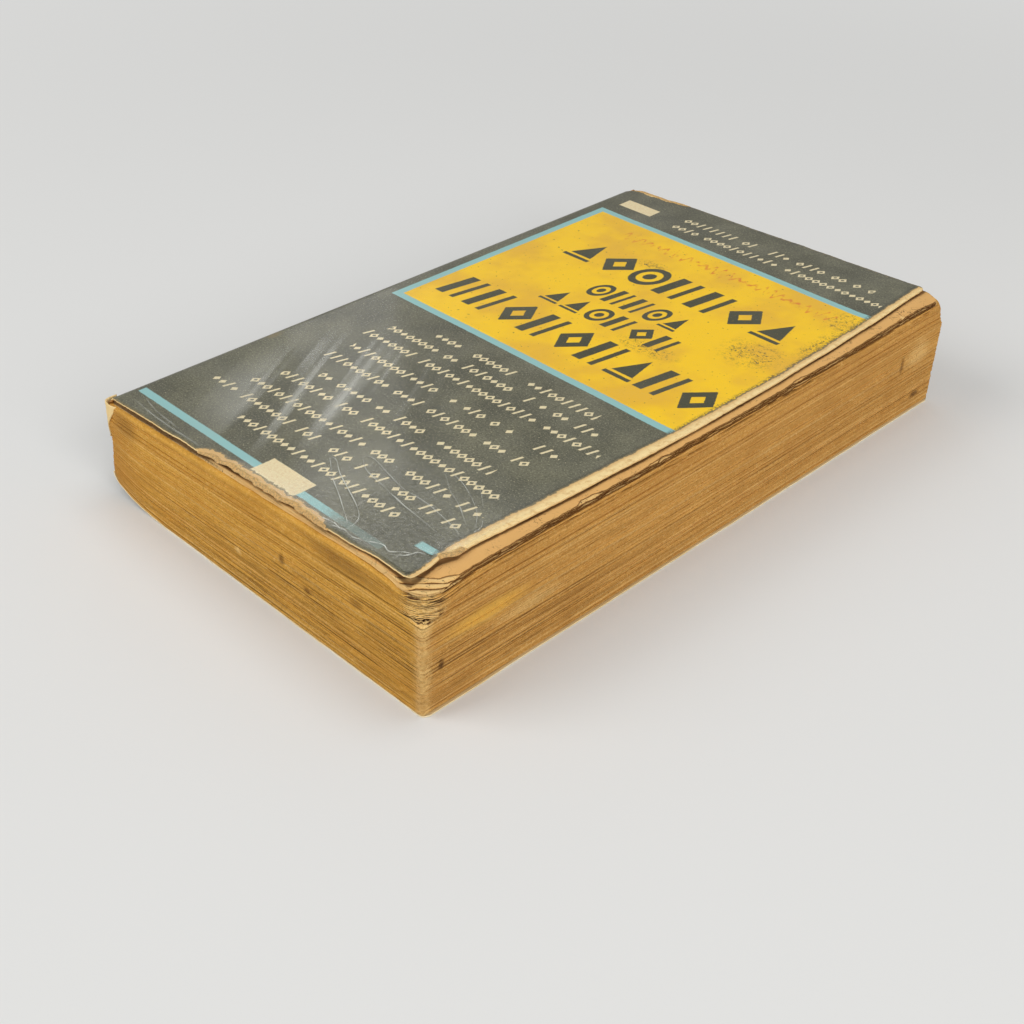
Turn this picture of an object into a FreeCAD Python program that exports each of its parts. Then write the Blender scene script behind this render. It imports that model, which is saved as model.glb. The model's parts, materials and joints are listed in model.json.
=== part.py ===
import FreeCAD, Part
import math
import os

# A worn pocket paperback that lies on its back cover. Millimetres: +X runs from the spine to
# the fore-edge, +Y from the tail to the head, +Z up. The origin is under the middle of the
# book, on the surface that it rests on.

# Size of the book over all
bookLength = 178.0
bookWidth = 104.0
frontFoldHeight = 25.0
foreEdgeHeight = 29.8

# Binding
cardThickness = 0.35
filmThickness = 0.06
glueThickness = 0.5
coverClearance = 0.12
foldClearance = 0.2

# Rolled spine: the underside lifts off the table towards it, and its face is hollow
rollRise = 3.4
rollReach = 24.0
rollSteps = 5
spineHollow = 0.8
spineShoulder = 1.2
shoulderStart = 0.66

# Text block: groups of leaves that fan out towards the fore-edge
leafGroups = 28
foreUnevenness = 0.35
endUnevenness = 0.3
headLean = 1.8
sharpCorner = 0.9

# Bashed upper leaves at the two fore-edge corners
bashStart = 0.76
tailCornerRadius = 7.0
headCornerRadius = 6.0
foreDroop = 1.8
droopStart = 0.93

# Worn outline of the front cover, as set-backs from the block
frontForeSetback = 3.4
frontForeBow = 3.0
bowRadius = 1000.0
frontTailSetback = 2.0
frontHeadSetback = 1.4
frontCornerRadius = 1.8
spineHeadCorner = 5.0
filmMargin = 0.5
backCornerRadius = 1.5
spineEndSetback = 0.6

halfLength = bookLength / 2
halfWidth = bookWidth / 2
rollStart = rollReach - halfWidth
overrun = 2.0


def point(x, y, z):
    return FreeCAD.Vector(x, y, z)


def uneven(seed, index):
    """A repeatable value from 0 to 1 for each leaf group."""
    return 0.5 + 0.5 * math.sin(7.3 * index + 2.9 * math.sin(3.1 * index + seed))


def blockSpineX(share):
    """X of the block's spine side at a share of its thickness, 0 at the foot, 1 at the top."""
    fromMiddle = abs(2 * share - 1)
    side = cardThickness + glueThickness - halfWidth
    if fromMiddle < shoulderStart:
        return side + spineHollow * 0.5 * (1 + math.cos(math.pi * fromMiddle / shoulderStart))
    return side + spineShoulder * ((fromMiddle - shoulderStart) / (1 - shoulderStart)) ** 2


foldX = blockSpineX(1) - glueThickness - cardThickness / 2


def rollHeight(x):
    """Height of the back cover's outer face over the table."""
    if x > rollStart:
        return 0.0
    return rollRise * ((rollStart - x) / (rollStart - foldX)) ** 3


def frontHeight(x):
    """Height of the middle of the front cover's card."""
    rise = foreEdgeHeight - frontFoldHeight
    return frontFoldHeight + rise * (x - foldX) / (halfWidth - foldX)


def leafHeight(share, x):
    """Height of the leaf that has a share of the block's thickness under it."""
    foot = rollHeight(x) + cardThickness + coverClearance
    top = frontHeight(x) - cardThickness / 2 - coverClearance
    return foot + share * (top - foot)


def leafLine(share):
    """One leaf seen from the tail: straight from the fore-edge, then curling up to the spine."""
    spineX = blockSpineX(share)
    line = [(halfWidth + overrun, leafHeight(share, halfWidth + overrun))]
    for step in range(rollSteps + 1):
        x = rollStart + (spineX - rollStart) * step / rollSteps
        line.append((x, leafHeight(share, x)))
    return line


def sectionSolid(section, tailY, headY):
    """A closed section of (x, z) points, drawn out from the tail to the head."""
    ring = [point(x, tailY, z) for x, z in section]
    ring.append(ring[0])
    return Part.Face(Part.makePolygon(ring)).extrude(point(0, headY - tailY, 0))


def roundedPrism(corners, footZ, topZ):
    """An upright prism on a plan of (x, y, radius) corners, each rounded by its radius."""
    edges = []
    places = [point(x, y, footZ) for x, y, radius in corners]
    starts = []
    ends = []
    arcs = []
    for index, (x, y, radius) in enumerate(corners):
        here = places[index]
        before = (places[index - 1] - here).normalize()
        after = (places[(index + 1) % len(places)] - here).normalize()
        halfAngle = before.getAngle(after) / 2
        reach = radius / math.tan(halfAngle)
        starts.append(here + before * reach)
        ends.append(here + after * reach)
        inward = (before + after).normalize()
        centre = here + inward * (radius / math.sin(halfAngle))
        arcs.append(centre - inward * radius)
    for index in range(len(corners)):
        if corners[index][2] > 0:
            edges.append(Part.Arc(starts[index], arcs[index], ends[index]).toShape())
        following = (index + 1) % len(corners)
        edges.append(Part.LineSegment(ends[index], starts[following]).toShape())
    return Part.Face(Part.Wire(edges)).extrude(point(0, 0, topZ - footZ))


def cornerRadius(share, fullRadius):
    """Lower leaves keep a sharp corner, the bashed ones above are rounded more and more."""
    if share < bashStart:
        return sharpCorner
    return sharpCorner + (fullRadius - sharpCorner) * math.sqrt((share - bashStart) / (1 - bashStart))


def leafGroup(index):
    """One group of leaves, cut to its own worn outline."""
    share = index / leafGroups
    upper = (index + 1) / leafGroups
    section = leafLine(share) + leafLine(upper)[::-1]
    sheet = sectionSolid(section, -halfLength - overrun, halfLength + overrun)
    foreX = halfWidth - foreUnevenness * uneven(1, index)
    if share > droopStart:
        foreX -= foreDroop * (share - droopStart) / (1 - droopStart)
    tailY = endUnevenness * uneven(2, index) - halfLength
    headY = halfLength - endUnevenness * uneven(3, index) - headLean * share
    corners = [
        (-halfWidth - overrun, tailY, 0),
        (foreX, tailY, cornerRadius(share, tailCornerRadius)),
        (foreX, headY, cornerRadius(share, headCornerRadius)),
        (-halfWidth - overrun, headY, 0),
    ]
    return sheet.common(roundedPrism(corners, -overrun, foreEdgeHeight + overrun))


def textBlock():
    """All leaves, glued into one block at the spine."""
    groups = [leafGroup(index) for index in range(leafGroups)]
    return groups[0].multiFuse(groups[1:])


def spineStations():
    """Where the leaf groups meet the spine, as (x, z) from the foot up."""
    shares = [index / leafGroups for index in range(leafGroups + 1)]
    return [(blockSpineX(share), leafHeight(share, blockSpineX(share))) for share in shares]


backFoldHeight = rollRise + cardThickness / 2
spineFoot = backFoldHeight + cardThickness / 2 + foldClearance
spineTop = frontFoldHeight - cardThickness / 2 - foldClearance


def spineSide():
    """The block's spine side between the two folds, its ends placed on the end facets."""
    stations = spineStations()
    line = []
    for (x0, z0), (x1, z1) in zip(stations, stations[1:]):
        for limit in (spineFoot, spineTop):
            if z0 < limit < z1:
                line.append((x0 + (x1 - x0) * (limit - z0) / (z1 - z0), limit))
        if spineFoot < z1 < spineTop:
            line.append((x1, z1))
    if stations[-1][1] <= spineTop and line[-1] != stations[-1]:
        line.append(stations[-1])
    return sorted(line, key=lambda place: place[1])


def spineLayer(nearDistance, farDistance):
    """A layer that follows the block's spine side between two distances from it."""
    side = spineSide()
    section = [(x - nearDistance, z) for x, z in side]
    section += [(x - farDistance, z) for x, z in side[::-1]]
    return sectionSolid(section, spineEndSetback - halfLength, halfLength - headLean)


def coverPlan(margin):
    """The front cover's worn outline, as (x, y, radius) corners, drawn in by a margin."""
    foreX = halfWidth - frontForeSetback - margin
    tailY = frontTailSetback - halfLength + margin
    headY = halfLength - frontHeadSetback - margin
    return [
        (foldX, tailY, 0),
        (foreX - frontForeBow, tailY, frontCornerRadius),
        (foreX, 0, bowRadius),
        (foreX - frontForeBow, headY, frontCornerRadius),
        (foldX, headY, spineHeadCorner),
    ]


def frontSheet(below, above, margin):
    """A flat sheet on the front cover's slope, between two heights from its middle."""
    ends = [foldX, halfWidth]
    section = [(x, frontHeight(x) + below) for x in ends]
    section += [(x, frontHeight(x) + above) for x in ends[::-1]]
    sheet = sectionSolid(section, -halfLength, halfLength)
    return sheet.common(roundedPrism(coverPlan(margin), 0, foreEdgeHeight + overrun))


def frontCover():
    return frontSheet(-cardThickness / 2, cardThickness / 2, 0)


def coverFilm():
    """The clear film over the front cover, worn back from its edges."""
    return frontSheet(cardThickness / 2, cardThickness / 2 + filmThickness, filmMargin)


def backCover():
    """The back cover: flat on the table, then rolled up to its fold beside the spine."""
    places = [halfWidth]
    places += [rollStart + (foldX - rollStart) * step / rollSteps for step in range(rollSteps + 1)]
    section = [(x, rollHeight(x)) for x in places]
    section += [(x, rollHeight(x) + cardThickness) for x in places[::-1]]
    sheet = sectionSolid(section, -halfLength, halfLength)
    plan = [
        (-halfWidth, -halfLength, 0),
        (halfWidth, -halfLength, backCornerRadius),
        (halfWidth, halfLength, backCornerRadius),
        (-halfWidth, halfLength, 0),
    ]
    return sheet.common(roundedPrism(plan, -overrun, foreEdgeHeight))


pieces = {
    "text_block": textBlock(),
    "spine_glue": spineLayer(0, glueThickness),
    "spine_cover": spineLayer(glueThickness, glueThickness + cardThickness),
    "front_cover": frontCover(),
    "cover_film": coverFilm(),
    "back_cover": backCover(),
}
os.makedirs("parts", exist_ok=True)
for name, shape in pieces.items():
    box = shape.BoundBox
    print(name, len(shape.Solids), shape.isValid(), round(shape.Volume, 1),
          [round(value, 2) for value in (box.XMin, box.YMin, box.ZMin, box.XMax, box.YMax, box.ZMax)])
    shape.exportStep("parts/" + name + ".step")
print("front fold", round(foldX, 3), frontFoldHeight, "back fold", round(foldX, 3), backFoldHeight)
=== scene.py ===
import bpy
import bmesh
import json
import math
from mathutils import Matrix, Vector, noise


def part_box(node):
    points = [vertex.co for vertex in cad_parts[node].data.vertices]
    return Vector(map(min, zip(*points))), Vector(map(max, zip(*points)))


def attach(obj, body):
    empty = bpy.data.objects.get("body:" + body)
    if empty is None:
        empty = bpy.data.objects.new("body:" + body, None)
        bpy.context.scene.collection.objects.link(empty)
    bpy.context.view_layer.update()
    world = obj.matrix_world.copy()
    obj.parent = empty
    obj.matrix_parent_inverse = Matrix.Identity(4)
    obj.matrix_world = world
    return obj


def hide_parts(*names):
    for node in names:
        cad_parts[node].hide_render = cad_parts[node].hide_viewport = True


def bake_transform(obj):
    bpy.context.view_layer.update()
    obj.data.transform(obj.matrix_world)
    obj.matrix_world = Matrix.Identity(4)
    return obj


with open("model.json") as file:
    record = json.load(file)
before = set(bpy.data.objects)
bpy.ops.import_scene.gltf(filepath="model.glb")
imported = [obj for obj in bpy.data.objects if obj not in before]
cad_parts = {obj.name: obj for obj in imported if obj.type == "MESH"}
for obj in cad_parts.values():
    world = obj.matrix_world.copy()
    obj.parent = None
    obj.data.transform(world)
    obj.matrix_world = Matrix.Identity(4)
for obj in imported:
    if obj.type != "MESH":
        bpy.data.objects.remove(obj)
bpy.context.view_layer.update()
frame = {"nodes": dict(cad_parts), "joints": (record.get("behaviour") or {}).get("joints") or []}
print("frame loaded")

# All lengths below are millimetres; finished meshes are scaled to metres.
metre = 0.001
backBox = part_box("back_cover")
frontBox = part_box("front_cover")
joints = {joint["name"]: joint for joint in frame["joints"]}
frontFold = [value / metre for value in joints["front_cover_hinge"]["pos_m"]]
backFold = [value / metre for value in joints["back_cover_hinge"]["pos_m"]]

book = {
    "halfLength": backBox[1][1] / metre,
    "halfWidth": backBox[1][0] / metre,
    "foldX": frontFold[0],
    "frontFoldZ": frontFold[2],
    "card": 0.35,
    "glue": 0.5,
    "clearance": 0.12,
    "rollReach": 24.0,
    "spineHollow": 0.8,
    "spineShoulder": 1.2,
    "shoulderStart": 0.66,
    "foreSag": 0.8,
    "tailDip": 3.4,
    "tailDipReach": 6.0,
    "headDip": 0.9,
    "headDipReach": 5.0,
    "dipStart": 0.7,
    "coverStiffness": 0.6,
}
book["rollRise"] = backFold[2] - book["card"] / 2
book["slope"] = ((frontBox[1][2] / metre - book["card"] / 2 - book["frontFoldZ"])
                 / (frontBox[1][0] / metre - book["foldX"]))
halfLength = book["halfLength"]
halfWidth = book["halfWidth"]
rollStart = book["rollReach"] - halfWidth


# The book's form

def clampShare(value):
    return max(0.0, min(1.0, value))


def wobble(x, y=0.0, z=0.0):
    return noise.noise(Vector((x, y, z)))


def frontHeight(x):
    return book["frontFoldZ"] + book["slope"] * (x - book["foldX"])


def rollHeight(x):
    if x > rollStart:
        return 0.0
    return book["rollRise"] * ((rollStart - x) / (rollStart - book["foldX"])) ** 3


def blockSpineX(share):
    fromMiddle = abs(2 * share - 1)
    side = book["card"] + book["glue"] - halfWidth
    start = book["shoulderStart"]
    if fromMiddle < start:
        return side + book["spineHollow"] * 0.5 * (1 + math.cos(math.pi * fromMiddle / start))
    return side + book["spineShoulder"] * ((fromMiddle - start) / (1 - start)) ** 2


def leafHeight(share, x):
    foot = rollHeight(x) + book["card"] + book["clearance"]
    top = frontHeight(x) - book["card"] / 2 - book["clearance"]
    return foot + share * (top - foot)


def settle(x, y, share, stiffness=0.0):
    # how far the worn top of the book lies below its flat plane at this place
    across = clampShare((x + halfWidth) / (2 * halfWidth))
    sag = book["foreSag"] * across ** 2 * (1 - (y / halfLength) ** 2)
    tailAway = (x - halfWidth) ** 2 + (y + halfLength) ** 2
    headAway = (x - halfWidth) ** 2 + (y - halfLength) ** 2
    dip = book["tailDip"] * math.exp(-tailAway / (2 * book["tailDipReach"] ** 2))
    dip += book["headDip"] * math.exp(-headAway / (2 * book["headDipReach"] ** 2))
    dip *= clampShare((share - book["dipStart"]) / (1 - book["dipStart"])) ** 1.3
    return sag * share + dip * (1 - stiffness)


def coverSink(x, y):
    return settle(x, y, 1.0, book["coverStiffness"])


# Mesh helpers

def sheetGrid(columns, rows, place):
    # a grid laid out by a rule that turns (across, along), both from 0 to 1, into a place in the
    # book and a place on the flat sheet
    mesh = bmesh.new()
    bmesh.ops.create_grid(mesh, x_segments=columns, y_segments=rows, size=1.0)
    uvLayer = mesh.loops.layers.uv.new("sheet")
    flat = {}
    for vert in mesh.verts:
        x, y, z, across, along = place((vert.co.x + 1) / 2, (vert.co.y + 1) / 2)
        vert.co = Vector((x, y, z))
        flat[vert] = (across / 200 + 0.5, along / 200 + 0.5)
    for face in mesh.faces:
        for loop in face.loops:
            loop[uvLayer].uv = flat[loop.vert]
    return mesh


def roundOff(x, y, limit, corners):
    # moves a place that is outside a sheet's rounded corners back onto their arcs
    for sign, end, radius in corners:
        dx = x - limit + radius
        dy = sign * y - end + radius
        length = math.hypot(dx, dy)
        if dx > 0 and dy > 0 and length > radius:
            x += dx * radius / length - dx
            y += sign * (dy * radius / length - dy)
    return x, y


def alongCurve(points, share):
    # a smooth curve through given places
    reach = share * (len(points) - 1)
    number = min(int(reach), len(points) - 2)
    part = reach - number
    before, start, end, after = [Vector(points[max(0, min(len(points) - 1, number + step))])
                                 for step in (-1, 0, 1, 2)]
    bend = (2 * before - 5 * start + 4 * end - after) * part
    bend += (3 * start - 3 * end + after - before) * part ** 2
    return start + 0.5 * part * (end - before + bend)


def finishPiece(mesh, name, materials, smooth=True):
    bmesh.ops.scale(mesh, vec=(metre, metre, metre), verts=mesh.verts)
    for face in mesh.faces:
        face.smooth = smooth
    data = bpy.data.meshes.new(name)
    mesh.to_mesh(data)
    mesh.free()
    piece = bpy.data.objects.new(name, data)
    bpy.context.collection.objects.link(piece)
    for material in materials:
        data.materials.append(material)
    return piece


def giveThickness(piece, thickness, offset, innerSlot=0, rimSlot=0):
    solid = piece.modifiers.new("thickness", "SOLIDIFY")
    solid.thickness = thickness * metre
    solid.offset = offset
    solid.material_offset = innerSlot
    solid.material_offset_rim = rimSlot


def pointValues(piece, name, values):
    attribute = piece.data.attributes.new(name, "FLOAT", "POINT")
    attribute.data.foreach_set("value", values)


# Node helpers

def paint(red, green, blue):
    def linear(value):
        value = value / 255
        return value / 12.92 if value <= 0.04045 else ((value + 0.055) / 1.055) ** 2.4
    return (linear(red), linear(green), linear(blue), 1.0)


making = {"tree": None}  # the node tree that the helpers below add to


def newMaterial(name, roughness):
    material = bpy.data.materials.new(name)
    material.use_nodes = True
    making["tree"] = material.node_tree
    shader = material.node_tree.nodes["Principled BSDF"]
    shader.inputs["Roughness"].default_value = roughness
    return material, shader


def addNode(kind):
    return making["tree"].nodes.new(kind)


def feed(socket, value):
    if isinstance(value, bpy.types.NodeSocket):
        making["tree"].links.new(value, socket)
    else:
        socket.default_value = value


def link(value, shader, name):
    making["tree"].links.new(value, shader.inputs[name])


def calc(operation, first, second=0.0, third=0.0):
    node = addNode("ShaderNodeMath")
    node.operation = operation
    for socket, value in zip(node.inputs, (first, second, third)):
        feed(socket, value)
    return node.outputs[0]


def times(first, second):
    return calc("MULTIPLY", first, second)


def plus(first, second):
    return calc("ADD", first, second)


def minus(first, second):
    return calc("SUBTRACT", first, second)


def scaled(value, scale, shift):
    return calc("MULTIPLY_ADD", value, scale, shift)


def ramp(value, low, high, toLow=0.0, toHigh=1.0):
    node = addNode("ShaderNodeMapRange")
    node.interpolation_type = "SMOOTHSTEP"
    for socket, number in zip(node.inputs[:5], (value, low, high, toLow, toHigh)):
        feed(socket, number)
    return node.outputs[0]


def between(value, low, high, soft):
    over = ramp(value, low - soft, low + soft)
    under = ramp(value, high - soft, high + soft, 1.0, 0.0)
    return times(over, under)


def both(*masks):
    result = masks[0]
    for mask in masks[1:]:
        result = times(result, mask)
    return result


def layer(share, under, over):
    node = addNode("ShaderNodeMix")
    node.data_type = "RGBA"
    feed(node.inputs[0], share)
    feed(node.inputs[6], under)
    feed(node.inputs[7], over)
    return node.outputs[2]


def coat(colour, share, name):
    # one more coat over a colour, by its name in colours
    return layer(share, colour, colours[name])


def largest(first, second):
    return calc("MAXIMUM", first, second)


def combine(x, y, z=0.0):
    node = addNode("ShaderNodeCombineXYZ")
    for socket, value in zip(node.inputs, (x, y, z)):
        feed(socket, value)
    return node.outputs[0]


def split(vector):
    node = addNode("ShaderNodeSeparateXYZ")
    feed(node.inputs[0], vector)
    return node.outputs[0], node.outputs[1], node.outputs[2]


def grain(vector, scale, detail=3.0, roughness=0.55, distortion=0.0):
    node = addNode("ShaderNodeTexNoise")
    feed(node.inputs["Vector"], vector)
    node.inputs["Scale"].default_value = scale
    node.inputs["Detail"].default_value = detail
    node.inputs["Roughness"].default_value = roughness
    node.inputs["Distortion"].default_value = distortion
    return node.outputs[0]


def chance(vector):
    node = addNode("ShaderNodeTexWhiteNoise")
    node.noise_dimensions = "2D"
    feed(node.inputs["Vector"], vector)
    return node.outputs[0]


def raised(shader, height, strength, distance):
    node = addNode("ShaderNodeBump")
    node.inputs["Strength"].default_value = strength
    node.inputs["Distance"].default_value = distance * metre
    feed(node.inputs["Height"], height)
    link(node.outputs[0], shader, "Normal")


def objectPlace():
    # place on the piece in millimetres
    source = addNode("ShaderNodeTexCoord")
    scale = addNode("ShaderNodeVectorMath")
    scale.operation = "SCALE"
    scale.inputs["Scale"].default_value = 1 / metre
    feed(scale.inputs[0], source.outputs["Object"])
    return scale.outputs[0]


def sheetPlace():
    # place along the sheet in millimetres, from its own map, so that it follows the bending card
    source = addNode("ShaderNodeUVMap")
    source.uv_map = "sheet"
    spread = addNode("ShaderNodeVectorMath")
    spread.operation = "MULTIPLY_ADD"
    spread.inputs[1].default_value = (200, 200, 0)
    spread.inputs[2].default_value = (-100, -100, 0)
    feed(spread.inputs[0], source.outputs[0])
    return spread.outputs[0]


def pointValue(name):
    node = addNode("ShaderNodeAttribute")
    node.attribute_name = name
    return node.outputs["Fac"]


# Colours of the card's print, its bare layers and the leaves

colours = {
    "olive": paint(86, 85, 68),
    "oliveLight": paint(116, 114, 92),
    "oliveDark": paint(50, 49, 38),
    "oliveSpeck": paint(176, 172, 140),
    "yellow": paint(255, 206, 2),
    "yellowDeep": paint(240, 186, 4),
    "teal": paint(146, 194, 192),
    "cream": paint(236, 220, 176),
    "ink": paint(66, 66, 44),
    "scriptInk": paint(226, 124, 24),
    "dirt": paint(112, 86, 28),
    "rimCream": paint(248, 220, 158),
    "rimTan": paint(214, 168, 102),
    "rimGrey": paint(128, 116, 84),
    "tornShade": paint(150, 118, 76),
    "cardInner": paint(208, 176, 122),
    "cardInnerDark": paint(194, 157, 102),
    "cardRim": paint(255, 243, 212),
    "cardEdge": paint(232, 198, 136),
    "tailLeaf": paint(232, 178, 78),
    "tailLeafDeep": paint(196, 140, 54),
    "foreLeaf": paint(224, 168, 86),
    "foreLeafDeep": paint(188, 134, 64),
    "leafPale": paint(250, 212, 140),
    "leafLine": paint(112, 70, 26),
    "leafGap": paint(70, 36, 16),
    "leafShade": paint(92, 56, 22),
    "pageFace": paint(238, 208, 154),
    "pageEdge": paint(222, 172, 104),
}


# Printed front cover

titleRows = [  # left, right, height of the middle over the sheet's centre, height of the row
    (-34.0, 39.0, 44.0, 11.6),
    (-14.5, 17.0, 29.3, 8.2),
    (-20.0, 22.0, 19.0, 7.8),
    (-41.0, 45.5, 5.1, 12.0),
]
wordRows = [  # left, right, height of the middle
    (-24.7, 37.7, 78.2),
    (-24.7, 43.5, 72.9),
    (-26.5, 30.5, -17.2),
    (-33.0, 35.5, -22.5),
    (-38.0, 41.5, -28.1),
    (-32.5, 36.5, -35.1),
    (-33.5, 38.0, -41.7),
    (-26.5, 30.5, -49.0),
    (-33.5, 38.5, -54.6),
    (-36.5, 41.0, -61.4),
    (-42.5, 43.0, -67.3),
    (-24.0, 29.0, -73.4),
]
frontPrint = {
    "panelLeft": -45.0,
    "panelTop": (65.3, 0.055),
    "panelFoot": (-8.4, 0.042),
    "border": 2.1,
    "rowSlope": 0.038,
    "stripe": -82.4,
    "stripeWidth": 2.1,
    "lowerBox": (-5.0, 9.3, -85.6, -78.2),
    "upperBox": (-45.0, -33.5, 73.0, 77.6),
    "wordPitch": 2.25,
    "lean": 0.16,
    "wordLean": 0.25,
    "scriptRow": (-30.0, 39.4, 59.2),
    "stripeSides": (-49.1, 35.0),
    "stripeFades": (19.0, 27.0),
    "looseBit": (38.8, 44.2),
    "looseBitShift": 6.0,
    "bareSpot": (-49.6, -43.5),
    "smudges": [  # place, size, stretch
        ((36, 29), 11, (1.0, 0.8)),
        ((43, 58), 7, (1.0, 1.3)),
        ((17, 14), 7, (1.6, 0.6)),
        ((44, 44), 5, (0.6, 2.5)),
        ((-12, 50), 6, (1.2, 0.5)),
    ],
}


def rowPlace(x, y, slope):
    # height on the cover along a line of print that runs out of square
    return scaled(x, slope, y)


def rowValues(height, rows):
    # left, right, middle and one more value of the row that a height falls in
    node = addNode("ShaderNodeValToRGB")
    stops = node.color_ramp
    stops.interpolation = "CONSTANT"
    stops.elements.remove(stops.elements[1])
    below = None
    for left, right, middle, extra in sorted(rows, key=lambda row: row[2]):
        if below is None:
            stop = stops.elements[0]
        else:
            stop = stops.elements.new(((below + middle) / 2 + halfLength) / (2 * halfLength))
        stop.color = (left / 100 + 0.5, right / 100 + 0.5, middle / 200 + 0.5, extra / 100)
        below = middle
    share = scaled(height, 1 / (2 * halfLength), 0.5)
    feed(node.inputs[0], share)
    left, right, middle = split(node.outputs["Color"])
    return (scaled(left, 100, -50), scaled(right, 100, -50),
            scaled(middle, 200, -100), times(node.outputs["Alpha"], 100))


def pick(luck, limit, below, above):
    share = calc("GREATER_THAN", luck, limit)
    return scaled(minus(above, below), share, below)


def titleMask(x, rowY):
    # rows of plain shapes: bar pairs, hollow diamonds, targets and triangles
    left, right, middle, height = rowValues(rowY, titleRows)
    up = minus(rowY, middle)
    leaning = scaled(up, -frontPrint["lean"], x)
    length = minus(right, left)
    blocks = calc("ROUND", calc("DIVIDE", length, times(height, 0.84)))
    cell = times(calc("DIVIDE", minus(leaning, left), length), blocks)
    luck = chance(combine(calc("FLOOR", cell), calc("FLOOR", middle)))
    u = scaled(calc("FRACT", cell), 2.0, -1.0)
    v = calc("DIVIDE", times(up, 2.0), height)
    sideways = calc("ABSOLUTE", u)
    upwards = calc("ABSOLUTE", v)
    bars = largest(between(u, -0.86, -0.28, 0.03), between(u, 0.2, 0.52, 0.03))
    diamond = between(scaled(sideways, 1.1, upwards), 0.4, 1.02, 0.03)
    square = calc("POWER", times(sideways, 1.14), 2.0)
    ring = calc("SQRT", scaled(upwards, upwards, square))
    target = largest(between(ring, 0.64, 1.0, 0.03), ramp(ring, 0.36, 0.3))
    slant = scaled(v, 0.5, times(sideways, 1.15))
    triangle = times(ramp(slant, 0.5, 0.44), ramp(v, -0.62, -0.58))
    base = both(ramp(v, -0.74, -0.78), ramp(sideways, 0.86, 0.82))
    triangle = largest(triangle, base)
    shape = pick(luck, 0.3, bars, diamond)
    shape = pick(luck, 0.54, shape, target)
    shape = pick(luck, 0.78, shape, triangle)
    inside = times(calc("GREATER_THAN", leaning, left), calc("LESS_THAN", leaning, right))
    return both(shape, inside, between(v, -0.98, 0.98, 0.02))


def wordMask(x, rowY):
    # rows of small cream diamonds, dots and strokes, with gaps as between words
    rows = [(left, right, middle, number * 3.0) for number, (left, right, middle) in enumerate(wordRows)]
    left, right, middle, seed = rowValues(rowY, rows)
    up = minus(rowY, middle)
    leaning = scaled(up, -frontPrint["wordLean"], x)
    cell = calc("DIVIDE", leaning, frontPrint["wordPitch"])
    number = calc("FLOOR", cell)
    luck = chance(combine(number, seed))
    second = chance(combine(seed, number))
    u = scaled(calc("FRACT", cell), 2.7, -1.35)
    corner = plus(calc("ABSOLUTE", u), calc("ABSOLUTE", up))
    diamond = between(corner, 0.55, 1.32, 0.1)
    stroke = both(between(u, -0.5, 0.25, 0.1), between(up, -1.3, 1.7, 0.12))
    dot = ramp(corner, 1.1, 0.9)
    shape = pick(second, 0.42, diamond, stroke)
    shape = pick(second, 0.74, shape, dot)
    written = calc("LESS_THAN", luck, 0.83)
    inside = times(calc("GREATER_THAN", x, left), calc("LESS_THAN", x, right))
    return both(shape, written, inside)


def boxMask(x, rowY, box):
    left, right, foot, top = box
    return both(between(x, left, right, 0.1), between(rowY, foot, top, 0.1))


def spot(vector, place, size, stretch=(1.0, 1.0)):
    # a soft patch round a place on the sheet
    x, y = split(vector)[:2]
    dx = times(minus(x, place[0]), 1 / (size * stretch[0]))
    dy = times(minus(y, place[1]), 1 / (size * stretch[1]))
    length = calc("SQRT", plus(times(dx, dx), times(dy, dy)))
    return ramp(length, 0.2, 1.0, 1.0, 0.0)


def wornOlive(vector):
    # the olive ground of the wrap: mottled, rubbed and finely speckled
    broad = grain(vector, 0.06, 4.0, 0.6)
    fine = grain(vector, 1.6, 4.0, 0.7)
    base = layer(ramp(broad, 0.35, 0.7), colours["olive"], colours["oliveLight"])
    base = coat(base, ramp(fine, 0.3, 0.6, 0.6, 0.0), "oliveDark")
    dust = ramp(grain(vector, 2.6, 3.0, 0.6), 0.54, 0.68, 0.0, 0.5)
    base = coat(base, dust, "oliveSpeck")
    speck = ramp(grain(vector, 2.1, 2.0, 0.5), 0.71, 0.75, 0.0, 0.6)
    return layer(speck, base, colours["cream"]), broad, fine


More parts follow.
